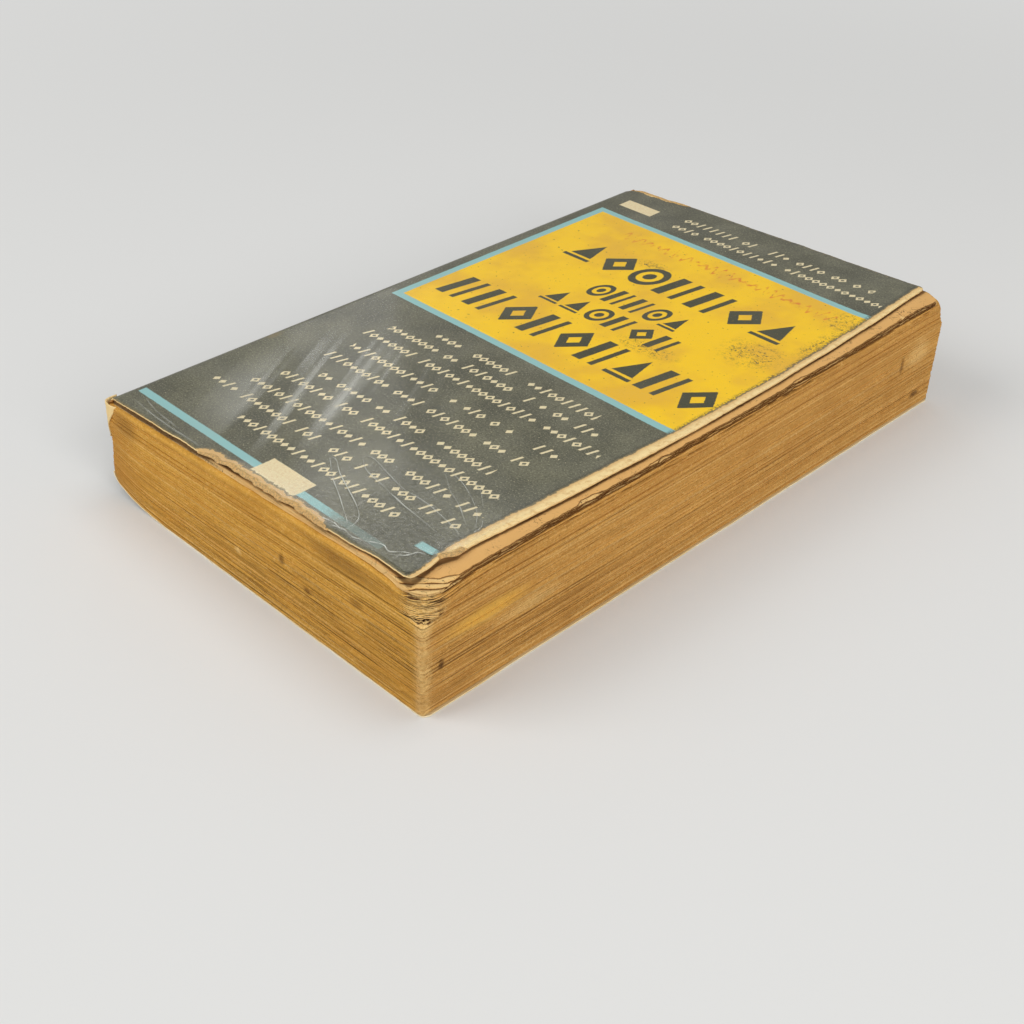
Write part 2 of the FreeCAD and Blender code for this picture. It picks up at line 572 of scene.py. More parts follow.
def frontPrintMaterial():
    material, shader = newMaterial("printedFront", 0.4)
    shader.inputs["Specular IOR Level"].default_value = 0.3
    shader.inputs["Coat Weight"].default_value = 0.2
    shader.inputs["Coat Roughness"].default_value = 0.08
    vector = sheetPlace()
    x, y = split(vector)[:2]
    ragged = grain(vector, 0.9, 4.0, 0.65)
    jitter = scaled(ragged, 0.3, -0.15)
    px = plus(x, jitter)
    py = plus(y, jitter)
    colour, broad, fine = wornOlive(vector)
    # yellow panel in its teal border, run off at the fore-edge
    top, topSlope = frontPrint["panelTop"]
    foot, footSlope = frontPrint["panelFoot"]
    fromTop = minus(top, rowPlace(px, py, topSlope))
    fromFoot = minus(rowPlace(px, py, footSlope), foot)
    fromLeft = minus(px, frontPrint["panelLeft"])
    inPanel = calc("MINIMUM", calc("MINIMUM", fromTop, fromFoot), fromLeft)
    border = ramp(inPanel, -frontPrint["border"] - 0.12, -frontPrint["border"] + 0.12)
    colour = coat(colour, border, "teal")
    yellow = coat(colours["yellow"], ramp(grain(vector, 0.05, 3.0), 0.4, 0.65), "yellowDeep")
    panel = ramp(inPanel, -0.12, 0.12)
    colour = layer(panel, colour, yellow)
    # rows of plain dark shapes stand in the title's place, a faded wavy stroke above them
    rowY = rowPlace(px, py, frontPrint["rowSlope"])
    inked = ramp(fine, 0.2, 0.42, 0.55, 1.0)
    colour = coat(colour, both(titleMask(px, rowY), inked), "ink")
    left, right, middle = frontPrint["scriptRow"]
    up = minus(rowY, middle)
    swing = calc("SINE", times(x, 2.3))
    swell = calc("SINE", times(x, 0.41))
    curve = times(swing, scaled(swell, 0.9, 1.3))
    away = calc("ABSOLUTE", minus(up, curve))
    stroke = ramp(away, 0.25, 1.0, 0.85, 0.0)
    faded = ramp(grain(vector, 0.35, 3.0, 0.7), 0.42, 0.6)
    script = both(stroke, faded, between(x, left, right, 0.3))
    colour = coat(colour, script, "scriptInk")
    # cream word rows, stripe and two bare boxes
    rubbed = ramp(fine, 0.25, 0.5, 0.6, 0.95)
    colour = coat(colour, both(wordMask(px, rowY), rubbed), "cream")
    middle = frontPrint["stripe"]
    half = frontPrint["stripeWidth"] / 2
    stripe = between(rowY, middle - half, middle + half, 0.15)
    whole = ramp(scaled(ragged, 6.0, x), *frontPrint["stripeFades"], 1.0, 0.2)
    stripe = both(stripe, whole, between(x, *frontPrint["stripeSides"], 0.2))
    shift = frontPrint["looseBitShift"]
    shifted = both(between(rowY, middle + shift - half, middle + shift + half, 0.2),
                   between(x, *frontPrint["looseBit"], 0.4), ramp(ragged, 0.3, 0.38))
    colour = coat(colour, largest(stripe, shifted), "teal")
    for name in ("lowerBox", "upperBox"):
        mask = boxMask(px, rowY, frontPrint[name])
        stained = layer(ramp(fine, 0.4, 0.7, 0.0, 0.4), colours["cream"], colours["rimTan"])
        colour = layer(mask, colour, stained)
    # smudges on the yellow, scuffs along the edges and a bare spot by the fold
    smudge = ramp(grain(vector, 0.45, 6.0, 0.75), 0.5, 0.66)
    smudges = None
    for place, size, stretch in frontPrint["smudges"]:
        here = spot(vector, place, size, stretch)
        smudges = here if smudges is None else largest(smudges, here)
    dirty = both(smudge, smudges, ramp(inPanel, 0.0, 0.3))
    colour = coat(colour, times(dirty, 0.5), "dirt")
    scribble = ramp(grain(vector, 0.9, 6.0, 0.8, 1.5), 0.53, 0.6)
    colour = coat(colour, both(scribble, smudges, panel), "oliveDark")
    specks = ramp(grain(vector, 1.1, 2.0, 0.5), 0.68, 0.73, 0.0, 0.7)
    colour = coat(colour, both(specks, panel), "dirt")
    bareSpot = both(spot(vector, frontPrint["bareSpot"], 2.6, (0.7, 1.2)), ramp(fine, 0.3, 0.45))
    colour = coat(colour, bareSpot, "rimGrey")
    # the print is worn off in a band along the fore-edge and in rubbed bits along the other edges
    worn = pointValue("foreDistance")
    broadWander = scaled(grain(vector, 0.1, 3.0, 0.6), 1.6, -0.8)
    fineWander = scaled(ragged, 1.2, -0.6)
    band = plus(worn, plus(broadWander, fineWander))
    mottled = ramp(grain(vector, 0.5, 5.0, 0.7), 0.45, 0.7, 0.0, 0.75)
    mottled = largest(mottled, ramp(band, 0.2, 1.8, 0.0, 0.8))
    bare = layer(mottled, colours["rimCream"], colours["rimTan"])
    fuzz = ramp(scaled(fine, 2.4, band), 3.4, 4.6, 0.9, 0.0)
    colour = coat(colour, both(fuzz, ramp(fine, 0.42, 0.56)), "oliveDark")
    colour = coat(colour, ramp(band, 1.9, 2.3, 0.9, 0.0), "rimGrey")
    colour = layer(ramp(band, 1.55, 1.8, 1.0, 0.0), colour, bare)
    ends = scaled(ragged, -2.4, pointValue("endDistance"))
    colour = coat(colour, ramp(ends, -1.0, -0.6, 1.0, 0.0), "rimGrey")
    peeled = scaled(ragged, -2.4, pointValue("peelDistance"))
    colour = coat(colour, ramp(peeled, -0.6, -0.2, 0.9, 0.0), "rimGrey")
    colour = layer(ramp(peeled, -1.2, -0.8, 1.0, 0.0), colour, bare)
    folded = ramp(x, frontFold[0] - 0.2, frontFold[0] + 1.3, 0.55, 0.0)
    colour = coat(colour, both(folded, ramp(ragged, 0.4, 0.6)), "oliveLight")
    link(colour, shader, "Base Color")
    rough = ramp(band, 1.6, 3.0, 0.75, 0.0)
    gloss = scaled(fine, 0.2, 0.24)
    link(largest(rough, gloss), shader, "Roughness")
    relief = plus(times(broad, 1.5), times(ragged, 0.12))
    raised(shader, relief, 0.35, 0.5)
    return material


def plainPrintMaterial():
    # spine and back: the same olive ground with no print, rubbed at the folds and edges
    material, shader = newMaterial("oliveCard", 0.38)
    shader.inputs["Coat Weight"].default_value = 0.25
    shader.inputs["Coat Roughness"].default_value = 0.2
    vector = sheetPlace()
    x, y = split(vector)[:2]
    colour, broad, fine = wornOlive(vector)
    ragged = grain(vector, 0.8, 5.0, 0.7)
    along = combine(times(x, 2.2), times(y, 0.035))
    creases = ramp(grain(along, 1.0, 3.0, 0.6), 0.6, 0.66)
    onSpine = pointValue("spineShare")
    colour = coat(colour, both(creases, onSpine, ramp(ragged, 0.4, 0.6, 0.1, 0.6)), "cardEdge")
    edge = scaled(ragged, -3.0, pointValue("endDistance"))
    colour = coat(colour, ramp(edge, -1.3, -0.8, 1.0, 0.0), "cardEdge")
    scratch = combine(times(x, 0.12), times(y, 1.4))
    scuffs = ramp(grain(scratch, 1.0, 5.0, 0.7, 0.6), 0.62, 0.68)
    colour = coat(colour, times(scuffs, 0.5), "oliveLight")
    link(colour, shader, "Base Color")
    link(scaled(fine, 0.3, 0.25), shader, "Roughness")
    raised(shader, plus(broad, times(creases, 0.3)), 0.35, 0.4)
    return material


def bareCardMaterial(name, light, dark):
    material, shader = newMaterial(name, 0.85)
    vector = sheetPlace()
    broad = grain(vector, 0.05, 4.0, 0.6)
    fibre = grain(vector, 3.0, 5.0, 0.75)
    foxing = ramp(grain(vector, 0.4, 4.0, 0.7), 0.62, 0.7)
    colour = layer(ramp(broad, 0.35, 0.7), light, dark)
    colour = layer(times(foxing, 0.4), colour, dark)
    colour = layer(ramp(fibre, 0.3, 0.6, 0.25, 0.0), colour, dark)
    link(colour, shader, "Base Color")
    raised(shader, fibre, 0.25, 0.08)
    return material


# Leaf edges and page faces

leafMarks = {  # place, size, stretch, colour, strength of stains on the two sides that show most
    "fore": [
        ((-72, 17), 9.0, (1.7, 0.35), "tailLeaf", 0.9),
        ((-60, 13), 8.0, (1.7, 0.3), "leafPale", 0.35),
        ((-84.0, 11), 1.5, (0.7, 1.3), "leafGap", 0.95),
        ((81, 4.5), 2.4, (1.2, 0.5), "leafGap", 0.8),
        ((79, 17), 7.0, (1.0, 0.8), "leafPale", 0.45),
        ((72, 16), 2.0, (0.6, 1.8), "leafLine", 0.7),
    ],
    "tail": [
        ((30, 24.5), 10.0, (1.7, 0.25), "leafLine", 0.55),
        ((-44, 21), 5.0, (1.2, 0.8), "leafLine", 0.45),
        ((10, 15), 1.6, (0.8, 1.2), "leafLine", 0.8),
        ((18, 11.5), 1.3, (1.5, 0.8), "leafLine", 0.8),
        ((-5, 9), 1.5, (1.0, 0.8), "leafPale", 0.6),
        ((33, 17), 2.0, (1.5, 0.7), "leafLine", 0.5),
    ],
}


def leafEdgeMaterial():
    material, shader = newMaterial("leafEdges", 0.85)
    shader.inputs["Specular IOR Level"].default_value = 0.2
    place = objectPlace()
    x, y, z = split(place)
    step = pointValue("leafStep")
    path = pointValue("edgePath")
    number = calc("FLOOR", step)
    within = calc("FRACT", step)
    tone = chance(combine(number, 0.5))
    along = combine(times(path, 0.06), times(number, 3.3))
    broken = grain(along, 1.0, 3.0, 0.6)
    speckle = grain(place, 1.5, 4.0, 0.75)
    fibres = combine(times(path, 1.3), times(step, 0.8))
    drawn = grain(fibres, 1.0, 4.0, 0.75)
    slowly = combine(times(path, 0.01), times(number, 0.37))
    bands = grain(slowly, 1.0, 3.0, 0.7)
    # amber at the two ends, tan along the fore-edge
    onFore = ramp(x, halfWidth - 2.6, halfWidth - 1.0)
    light = layer(onFore, colours["tailLeaf"], colours["foreLeaf"])
    deep = layer(onFore, colours["tailLeafDeep"], colours["foreLeafDeep"])
    colour = layer(ramp(bands, 0.35, 0.68, 0.1, 0.75), light, deep)
    colour = layer(ramp(tone, 0.5, 1.0, 0.0, 0.35), colour, deep)
    colour = coat(colour, ramp(tone, 0.0, 0.25, 0.4, 0.0), "leafPale")
    colour = layer(ramp(drawn, 0.36, 0.47, 0.5, 0.0), colour, deep)
    colour = coat(colour, ramp(drawn, 0.55, 0.64, 0.0, 0.4), "leafPale")
    colour = layer(ramp(speckle, 0.36, 0.47, 0.55, 0.0), colour, deep)
    colour = coat(colour, ramp(speckle, 0.56, 0.66, 0.0, 0.4), "leafPale")
    colour = coat(colour, ramp(speckle, 0.29, 0.37, 0.6, 0.0), "leafLine")
    # a fine line between leaves, plainest low down towards the tail corner
    edge = calc("ABSOLUTE", minus(within, 0.5))
    toCorner = ramp(scaled(z, -3.0, x), -100.0, 30.0, 0.15, 1.0)
    onward = times(onFore, ramp(y, -85.0, 10.0, 0.3, 0.75))
    toCorner = times(toCorner, minus(1.0, onward))
    strong = ramp(chance(combine(number, 7.5)), 0.5, 0.62)
    wide = scaled(strong, -0.16, 0.36)
    line = ramp(minus(edge, wide), 0.0, 0.1)
    line = both(line, ramp(broken, 0.38, 0.6, 0.12, 1.0), toCorner)
    line = times(line, scaled(strong, 0.6, 0.4))
    colour = coat(colour, line, "leafLine")
    # painted shade: the gaps between parted leaves are darkened with the leafShade colour
    hollow = ramp(pointValue("leafGap"), 0.2, 1.0, 0.0, 0.8)
    hollow = both(hollow, toCorner, ramp(broken, 0.3, 0.5, 0.6, 1.0))
    colour = coat(colour, hollow, "leafShade")
    # painted shade: the torn-back edges of the top leaves and the lip below the bashed corner are darkened,
    # as in their recesses
    torn = ramp(pointValue("tornDepth"), 0.3, 1.0, 0.0, 0.9)
    colour = coat(colour, torn, "leafGap")
    # cream, rubbed corner at the tail, paler from wear and from a painted highlight along its rounded ridge,
    # with painted shade in the crevices of the torn leaves above its sharp lower part
    corner = pointValue("cornerWearAndShading")
    # partly painted highlight: paler along the rubbed corner's rounded ridge
    patchy = ramp(plus(speckle, times(drawn, 0.6)), 0.62, 0.92, 0.25, 1.0)
    rubbed = times(ramp(corner, 0.0, 0.8), patchy)
    colour = coat(colour, times(rubbed, 0.9), "leafPale")
    # painted shade: darker in the crevices between the torn leaves above the corner's sharp lower part
    bashed = both(ramp(corner, 0.05, 0.4), ramp(z, 20.5, 22.5), ramp(line, 0.05, 0.3))
    colour = coat(colour, bashed, "leafGap")
    # broad stains, yellowish smudge by the tail and a few dark spots
    blotch = ramp(grain(place, 0.07, 5.0, 0.7), 0.46, 0.66, 0.0, 0.45)
    colour = layer(blotch, colour, deep)
    nearSpine = ramp(x, -halfWidth, -halfWidth + 16.0, 0.6, 0.0)
    colour = coat(colour, nearSpine, "foreLeafDeep")
    sides = ((combine(y, z), onFore, leafMarks["fore"]),
             (combine(x, z), ramp(y, 0.0, -10.0), leafMarks["tail"]))
    for vector, side, marks in sides:
        for middle, size, stretch, name, strength in marks:
            patch = spot(vector, middle, size, stretch)
            patch = both(patch, ramp(speckle, 0.3, 0.55, 0.4, 1.0), side)
            colour = coat(colour, times(patch, strength), name)
    link(colour, shader, "Base Color")
    height = plus(times(speckle, 0.6), times(drawn, 0.7))
    height = minus(height, times(line, 0.8))
    raised(shader, height, 0.8, 0.22)
    return material


def pageMaterial(name, light, edge, browning, cracks):
    # face of a leaf: yellowed, browner towards its edges
    material, shader = newMaterial(name, 0.9)
    shader.inputs["Specular IOR Level"].default_value = 0.2
    place = objectPlace()
    broad = grain(place, 0.05, 4.0, 0.6)
    fibre = grain(place, 2.5, 5.0, 0.75)
    rim = scaled(broad, 6.0, pointValue("edgeDistance"))
    colour = layer(ramp(rim, 1.0, browning, 1.0, 0.0), light, edge)
    colour = layer(ramp(fibre, 0.3, 0.65, 0.3, 0.0), colour, edge)
    streak = ramp(grain(place, 0.5, 5.0, 0.7, 1.0), 0.55, 0.68)
    colour = layer(times(streak, 0.45), colour, edge)
    # painted shade: a dark line along each leaf's torn edge, where it stands off the leaf below
    torn = scaled(fibre, 0.5, pointValue("edgeDistance"))
    colour = coat(colour, ramp(torn, 0.35, 0.6, cracks, 0.0), "leafLine")
    # painted shade: thin dark cracks near the leaf's edges, where the torn paper parts
    veins = calc("ABSOLUTE", minus(grain(place, 0.22, 4.0, 0.6, 1.2), 0.5))
    worn = ramp(pointValue("edgeDistance"), 3.0, 7.0, cracks, 0.0)
    cracked = both(ramp(veins, 0.0, 0.012, 1.0, 0.0), worn, ramp(broad, 0.4, 0.55))
    colour = coat(colour, cracked, "leafGap")
    # painted shade: a dark line on the leaf that follows the cover's edge, where the lifted card shades it
    beyond = scaled(fibre, 0.5, pointValue("beyondCover"))
    shaded = both(ramp(beyond, 0.2, 0.75, 0.85, 0.0), ramp(beyond, -1.5, -0.1),
                  ramp(broad, 0.3, 0.55, 0.6, 1.0))
    colour = coat(colour, shaded, "leafGap")
    link(colour, shader, "Base Color")
    raised(shader, plus(fibre, broad), 0.3, 0.12)
    return material


def filmMaterial():
    # clear laminate: nearly unseen where it lies flat, white along its creases, with a painted glare of
    # whiter streaks at the lower left
    material, shader = newMaterial("clearFilm", 0.12)
    vector = sheetPlace()
    x, y = split(vector)[:2]
    shader.inputs["Base Color"].default_value = paint(232, 232, 220)
    ragged = grain(vector, 0.9, 4.0, 0.7)
    bend = combine(plus(x, times(y, 0.45)), times(y, 0.2))
    veins = calc("ABSOLUTE", minus(grain(bend, 0.16, 3.0, 0.5, 0.8), 0.5))
    loose = both(ramp(y, -48.0, -66.0), ramp(x, -2.0, 14.0))
    vein = both(ramp(veins, 0.0, 0.012, 0.3, 0.0), loose, ramp(ragged, 0.45, 0.6))
    haze = ramp(grain(vector, 0.05, 3.0, 0.6), 0.4, 0.75, 0.01, 0.05)
    haze = plus(haze, times(loose, ramp(ragged, 0.3, 0.7, 0.04, 0.16)))
    # painted reflection: the film is whiter in diagonal streaks round a spot at the lower left, standing in
    # for a window's glare
    streaks = combine(plus(x, times(y, 0.55)), times(y, 0.06))
    paintedGlare = both(ramp(grain(streaks, 0.16, 2.0, 0.5), 0.45, 0.62, 0.0, 0.42),
                 spot(vector, (-22, -52), 34, (0.8, 1.1)))
    clear = largest(vein, plus(haze, paintedGlare))
    link(clear, shader, "Alpha")
    scratches = grain(combine(times(x, 3.0), y), 0.8, 4.0, 0.7)
    raised(shader, scratches, 0.2, 0.12)
    return material


def creaseMaterial():
    # film folded onto itself: milky along the middle of the fold, clear at its sides
    material, shader = newMaterial("creasedFilm", 0.3)
    shader.inputs["Base Color"].default_value = paint(226, 228, 218)
    link(pointValue("fade"), shader, "Alpha")
    return material


def tornCardMaterial():
    # fibres of card pulled apart: cream in the middle, tan and grey towards the print, and browner at the
    # outer edge as painted shade where the card turns down
    material, shader = newMaterial("tornCard", 0.95)
    place = objectPlace()
    broad = grain(place, 0.5, 5.0, 0.75)
    fine = grain(place, 2.4, 5.0, 0.8)
    inward = scaled(broad, 1.4, pointValue("edgeDistance"))
    colour = layer(ramp(broad, 0.4, 0.6, 0.0, 0.5), colours["rimCream"], colours["rimTan"])
    # painted shade: the browner foot along the lip's outer edge, where the card turns down
    foot = layer(ramp(fine, 0.4, 0.58), colours["tornShade"], colours["rimTan"])
    colour = layer(ramp(inward, 1.3, 1.9, 0.8, 0.0), colour, foot)
    colour = coat(colour, ramp(inward, 2.6, 3.1, 0.0, 0.7), "rimGrey")
    colour = coat(colour, ramp(fine, 0.34, 0.46, 0.5, 0.0), "rimGrey")
    link(colour, shader, "Base Color")
    raised(shader, plus(fine, broad), 0.6, 0.2)
    return material


def glueMaterial():
    material, shader = newMaterial("bindingGlue", 0.5)
    place = objectPlace()
    lumps = grain(place, 0.6, 4.0, 0.6)
    colour = layer(ramp(lumps, 0.3, 0.7), paint(176, 128, 66), paint(128, 82, 34))
    link(colour, shader, "Base Color")
    raised(shader, lumps, 0.5, 0.3)
    return material


printedFront = frontPrintMaterial()
oliveCard = plainPrintMaterial()
cardInside = bareCardMaterial("cardInside", colours["cardInner"], colours["cardInnerDark"])
cardEdge = bareCardMaterial("cardEdge", colours["rimCream"], colours["cardEdge"])
cardRim = bareCardMaterial("cardRim", colours["cardRim"], colours["rimCream"])
leafEdges = leafEdgeMaterial()
pageFace = pageMaterial("pageFace", colours["pageFace"], colours["pageEdge"], 24.0, 0.8)
tornLeaf = pageMaterial("tornLeaf", colours["cardEdge"], colours["foreLeaf"], 5.0, 1.0)
clearFilm = filmMaterial()
creasedFilm = creaseMaterial()
tornCard = tornCardMaterial()
print("materials made")


# Text block: leaves stacked as uneven bands round the three open sides

leafBlock = {
    "leaves": 100,
    "lowered": 0.9,
    "tailColumns": 62,
    "foreColumns": 96,
    "cornerColumns": 9,
    "sharpCorner": 0.9,
    "bashStart": 0.76,
    "tailRadius": 9.0,
    "headRadius": 4.5,
    "headLean": 1.8,
    "foreUpright": 0.85,
    "unevenness": 0.3,
    "looseFoot": 0.3,
    "foreDroop": 1.0,
    "tailDroop": 1.3,
    "droopStart": 0.93,
    "droopWidth": 0.07,
    "tornStart": 0.9,
    "tornWidth": 0.05,
    "tornDepth": 0.8,
    "lipDepth": 0.9,
    "rubbedReach": 3.4,
    "bashedReach": 8.0,
}


def cornerRadius(share, fullRadius):
    start = leafBlock["bashStart"]
    least = leafBlock["sharpCorner"]
    if share < start:
        return least
    return least + (fullRadius - least) * math.sqrt((share - start) / (1 - start))


def headEdge(share, x):
    across = clampShare((x + halfWidth) / (2 * halfWidth))
    return halfLength - leafBlock["headLean"] * share * (1 - leafBlock["foreUpright"] * across)


def edgePoint(column, share):
    # plan place and outward direction on the block's outline, from tail and spine round to head
    tailRadius = cornerRadius(share, leafBlock["tailRadius"])
    headRadius = cornerRadius(share, leafBlock["headRadius"])
    droop = clampShare((share - leafBlock["droopStart"]) / leafBlock["droopWidth"])
    foreX = halfWidth - leafBlock["foreDroop"] * droop
    tailY = -halfLength
    headY = headEdge(share, foreX)
    spineX = blockSpineX(share)
    tail, corner, fore = leafBlock["tailColumns"], leafBlock["cornerColumns"], leafBlock["foreColumns"]
    if column < tail:
        part = column / tail
        return spineX + (foreX - tailRadius - spineX) * part, tailY, 0.0, -1.0
    column -= tail
    if column < corner:
        angle = math.radians(90 * column / corner - 90)
        x, y = math.cos(angle), math.sin(angle)
        return foreX - tailRadius + tailRadius * x, tailY + tailRadius + tailRadius * y, x, y
    column -= corner
    if column < fore:
        part = column / fore
        return foreX, tailY + tailRadius + (headY - headRadius - tailY - tailRadius) * part, 1.0, 0.0
    column -= fore
    if column < corner:
        angle = math.radians(90 * column / corner)
        x, y = math.cos(angle), math.sin(angle)
        return foreX - headRadius + headRadius * x, headY - headRadius + headRadius * y, x, y
    column -= corner
    x = foreX - headRadius + (spineX - foreX + headRadius) * column / tail
    return x, headEdge(share, x), 0.0, 1.0


def leafSetback(leaf, path, share):
    # how far a leaf's edge stands back from the outline, and how deep a hollow it is in
    own = 0.5 + 0.5 * wobble(leaf * 7.31, 0.4)
    slow = 0.5 + 0.5 * wobble(leaf * 0.55, path * 0.02, 3.0)
    quick = wobble(leaf * 2.7, path * 0.16, 9.0)
    back = leafBlock["unevenness"] * (0.55 * own + 0.35 * slow + 0.2 * quick)
    every = 2 if share < leafBlock["looseFoot"] else 3
    parted = (0.75 + 0.5 * wobble(leaf * 9.7, 21.0)) if (leaf + int(3 * own)) % every == 0 else 0.0
    gap = parted * clampShare(0.7 + 1.3 * wobble(leaf * 1.7, path * 0.012, 21.0))
    return back + 0.22 * gap, clampShare(gap)


def tornSetback(leaf, share, column, path):
    # broken edges of the top leaves along the fore-edge, in short lengths
    start = leafBlock["tailColumns"] + leafBlock["cornerColumns"] * 0.3
    end = leafBlock["tailColumns"] + leafBlock["cornerColumns"] + leafBlock["foreColumns"]
    if share < leafBlock["tornStart"] or not start < column < end:
        return 0.0
    rise = clampShare((share - leafBlock["tornStart"]) / leafBlock["tornWidth"])
    length = wobble(leaf * 4.7, path * 0.045, 41.0) + 0.5 * wobble(path * 0.2, leaf)
    return rise * clampShare((length - 0.05) * 4)


def buildLeafBlock():
    leaves = leafBlock["leaves"]
    columns = 2 * leafBlock["tailColumns"] + 2 * leafBlock["cornerColumns"] + leafBlock["foreColumns"]
    lines = [0.0]
    for leaf in range(leaves):
        lines.append(lines[-1] + 1 + 0.75 * wobble(leaf * 1.93, 0.7))
    lines = [line / lines[-1] for line in lines]
    topShare = 1 - leafBlock["lowered"] / (book["frontFoldZ"] + 3)
    mesh = bmesh.new()
    bmesh.ops.create_grid(mesh, x_segments=columns, y_segments=2 * leaves - 1, size=1.0)
    pathLayer = mesh.verts.layers.float.new("edgePath")
    gapLayer = mesh.verts.layers.float.new("leafGap")
    tornLayer = mesh.verts.layers.float.new("tornDepth")
    stepLayer = mesh.verts.layers.float.new("leafStep")
    cornerLayer = mesh.verts.layers.float.new("cornerWearAndShading")
    for vert in mesh.verts:
        column = round((vert.co.x + 1) / 2 * columns)
        row = round((vert.co.y + 1) / 2 * (2 * leaves - 1))
        leaf = row // 2
        inset = 0.08 * (lines[leaf + 1] - lines[leaf])
        share = topShare * (lines[leaf] + inset if row % 2 == 0 else lines[leaf + 1] - inset)
        x, y, outX, outY = edgePoint(column, share)
        path = x + y * 0.7 + column * 1.1
        back, gap = leafSetback(leaf, path, share)
        torn = tornSetback(leaf, share, column, path)
        back += leafBlock["tornDepth"] * torn
        if column < leafBlock["tailColumns"]:
            droop = clampShare((share - leafBlock["droopStart"]) / leafBlock["droopWidth"])
            back += leafBlock["tailDroop"] * droop ** 2
        fromCorner = math.hypot(min(halfWidth - x, 20), min(y + halfLength, 20)) if y < 0 else 20
        bashed = share > leafBlock["bashStart"]
        wear = clampShare(1 - fromCorner / leafBlock["bashedReach" if bashed else "rubbedReach"])
        lip = math.exp(-((share - leafBlock["bashStart"] - 0.02) / 0.012) ** 2)
        lip *= clampShare(2 - fromCorner / 5)
        back += leafBlock["lipDepth"] * lip
        if bashed:
            crumple = 0.9 * wobble(leaf * 0.33, path * 0.24, 13.0) + 0.4 * wobble(leaf * 1.9, path * 0.5)
            back += wear * (0.35 + crumple)
        torn = max(torn, lip)
        vert.co = Vector((x - outX * back, y - outY * back, leafHeight(share, x) - settle(x, y, share)))
        vert[pathLayer] = path
        vert[gapLayer] = gap
        vert[tornLayer] = torn
        vert[stepLayer] = leaf + (0.04 if row % 2 == 0 else 0.96)
        vert[cornerLayer] = wear
    spineEdges = [edge for edge in mesh.edges if edge.is_boundary
                  and max(edge.verts[0].co.x, edge.verts[1].co.x) < -halfWidth + 3
                  and abs(edge.verts[0].co.y - edge.verts[1].co.y) < 2]
    bmesh.ops.bridge_loops(mesh, edges=spineEdges)
    bmesh.ops.holes_fill(mesh, edges=[edge for edge in mesh.edges if edge.is_boundary], sides=0)
    bmesh.ops.recalc_face_normals(mesh, faces=mesh.faces)
    piece = finishPiece(mesh, "leafBlock", [leafEdges], smooth=False)
    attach(piece, "book_block")
    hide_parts("text_block")


buildLeafBlock()
print("text block made")


# Loose top leaves: thin sheets over the block with torn fore-edges

looseLeaves = {
    "places": [  # depth under the card, reach, raggedness, slanting cut at the tail corner
        (-0.86, 51.45, 0.3, 129.0),
        (-0.7, 51.3, 0.5, 126.6),
        (-0.52, 51.15, 0.7, 124.6),
        (-0.36, 50.95, 0.9, 122.9),
        (-0.2, 50.75, 1.0, 121.2),
    ],
    "thickness": 0.08,
    "columns": 40,
    "rows": 300,
    "tailSetback": (1.2, 1.4, 1.5, 1.6, 1.8),
    "cornerRadii": (8.5, 8.8, 9.1, 9.5, 10.0),
    "headRadius": 5.5,
    "foreSetback": 0.8,
}


def looseEdgeX(y, index):
    # torn fore-edge: waves that all leaves share, own nibbles and bites, and the torn-off corner
    depth, reach, ragged, cut = looseLeaves["places"][index]
    seed = index * 13.7
    edge = reach + 0.4 * wobble(y * 0.035, 50.0) + 0.25 * wobble(y * 0.3, 54.0) + 0.1 * wobble(y * 0.7, seed)
    bite = clampShare((wobble(y * 0.13, seed + 9) - 0.25) * 4)
    nibble = 0.3 * abs(wobble(y * 1.3, seed + 2))
    edge -= ragged * (0.9 * bite + nibble)
    slant = cut + 0.9 * y + 0.7 * wobble(y * 0.35, seed + 3) + 0.25 * wobble(y * 1.6, seed + 5)
    return min(edge, slant)


def buildLooseLeaf(index):
    depth = looseLeaves["places"][index][0]
    seed = index * 13.7
    tailY = -halfLength + looseLeaves["tailSetback"][index]
    spineX = -halfWidth + 1.6

    def place(across, along):
        bend = 1 - (1 - across) ** 2.2
        headY = headEdge(1.0, spineX + (halfWidth - spineX) * bend) - 0.15 * index - 0.1
        y = tailY + (headY - tailY) * along
        edge = looseEdgeX(y, index)
        x = spineX + (edge - spineX) * bend
        corners = ((-1, halfLength - 1.0, looseLeaves["cornerRadii"][index]),
                   (1, headY, looseLeaves["headRadius"]))
        x, y = roundOff(x, y, halfWidth - looseLeaves["foreSetback"], corners)
        wave = 0.4 + wobble(y * 0.08, seed) + wobble(y * 0.4, seed + 6) / 2
        lift = 0.16 * clampShare((x - 42) / 8) * wave
        byCorner = clampShare(1 - (edge - x) / 5) * clampShare((-74 - y) / 5)
        lift += 0.3 * byCorner * (0.7 + wobble(y * 0.5, seed + 8))
        z = frontHeight(x) - book["card"] / 2 + depth - settle(x, y, 1.0) + lift
        return x, y + 0.15 * wobble(x * 0.4, seed + 1) * (1 if 0 < along < 1 else 2), z, x, y

    mesh = sheetGrid(looseLeaves["columns"], looseLeaves["rows"], place)
    distances = [min(looseEdgeX(vert.co.y, index) - vert.co.x, halfLength - abs(vert.co.y))
                 for vert in mesh.verts]
    shadows = [max(vert.co.x - frontEdgeX(vert.co.y), frontTailY(vert.co.x) - vert.co.y)
               for vert in mesh.verts]
    piece = finishPiece(mesh, "topLeaf%d" % (index + 1), [pageFace if index == 4 else tornLeaf])
    pointValues(piece, "edgeDistance", distances)
    pointValues(piece, "beyondCover", shadows)
    giveThickness(piece, looseLeaves["thickness"], 0.0)
    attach(piece, "book_block")


bottomLeaf = {
    "setback": 0.5,
    "spineSetback": 0.3,
    "columns": 70,
    "rows": 60,
}


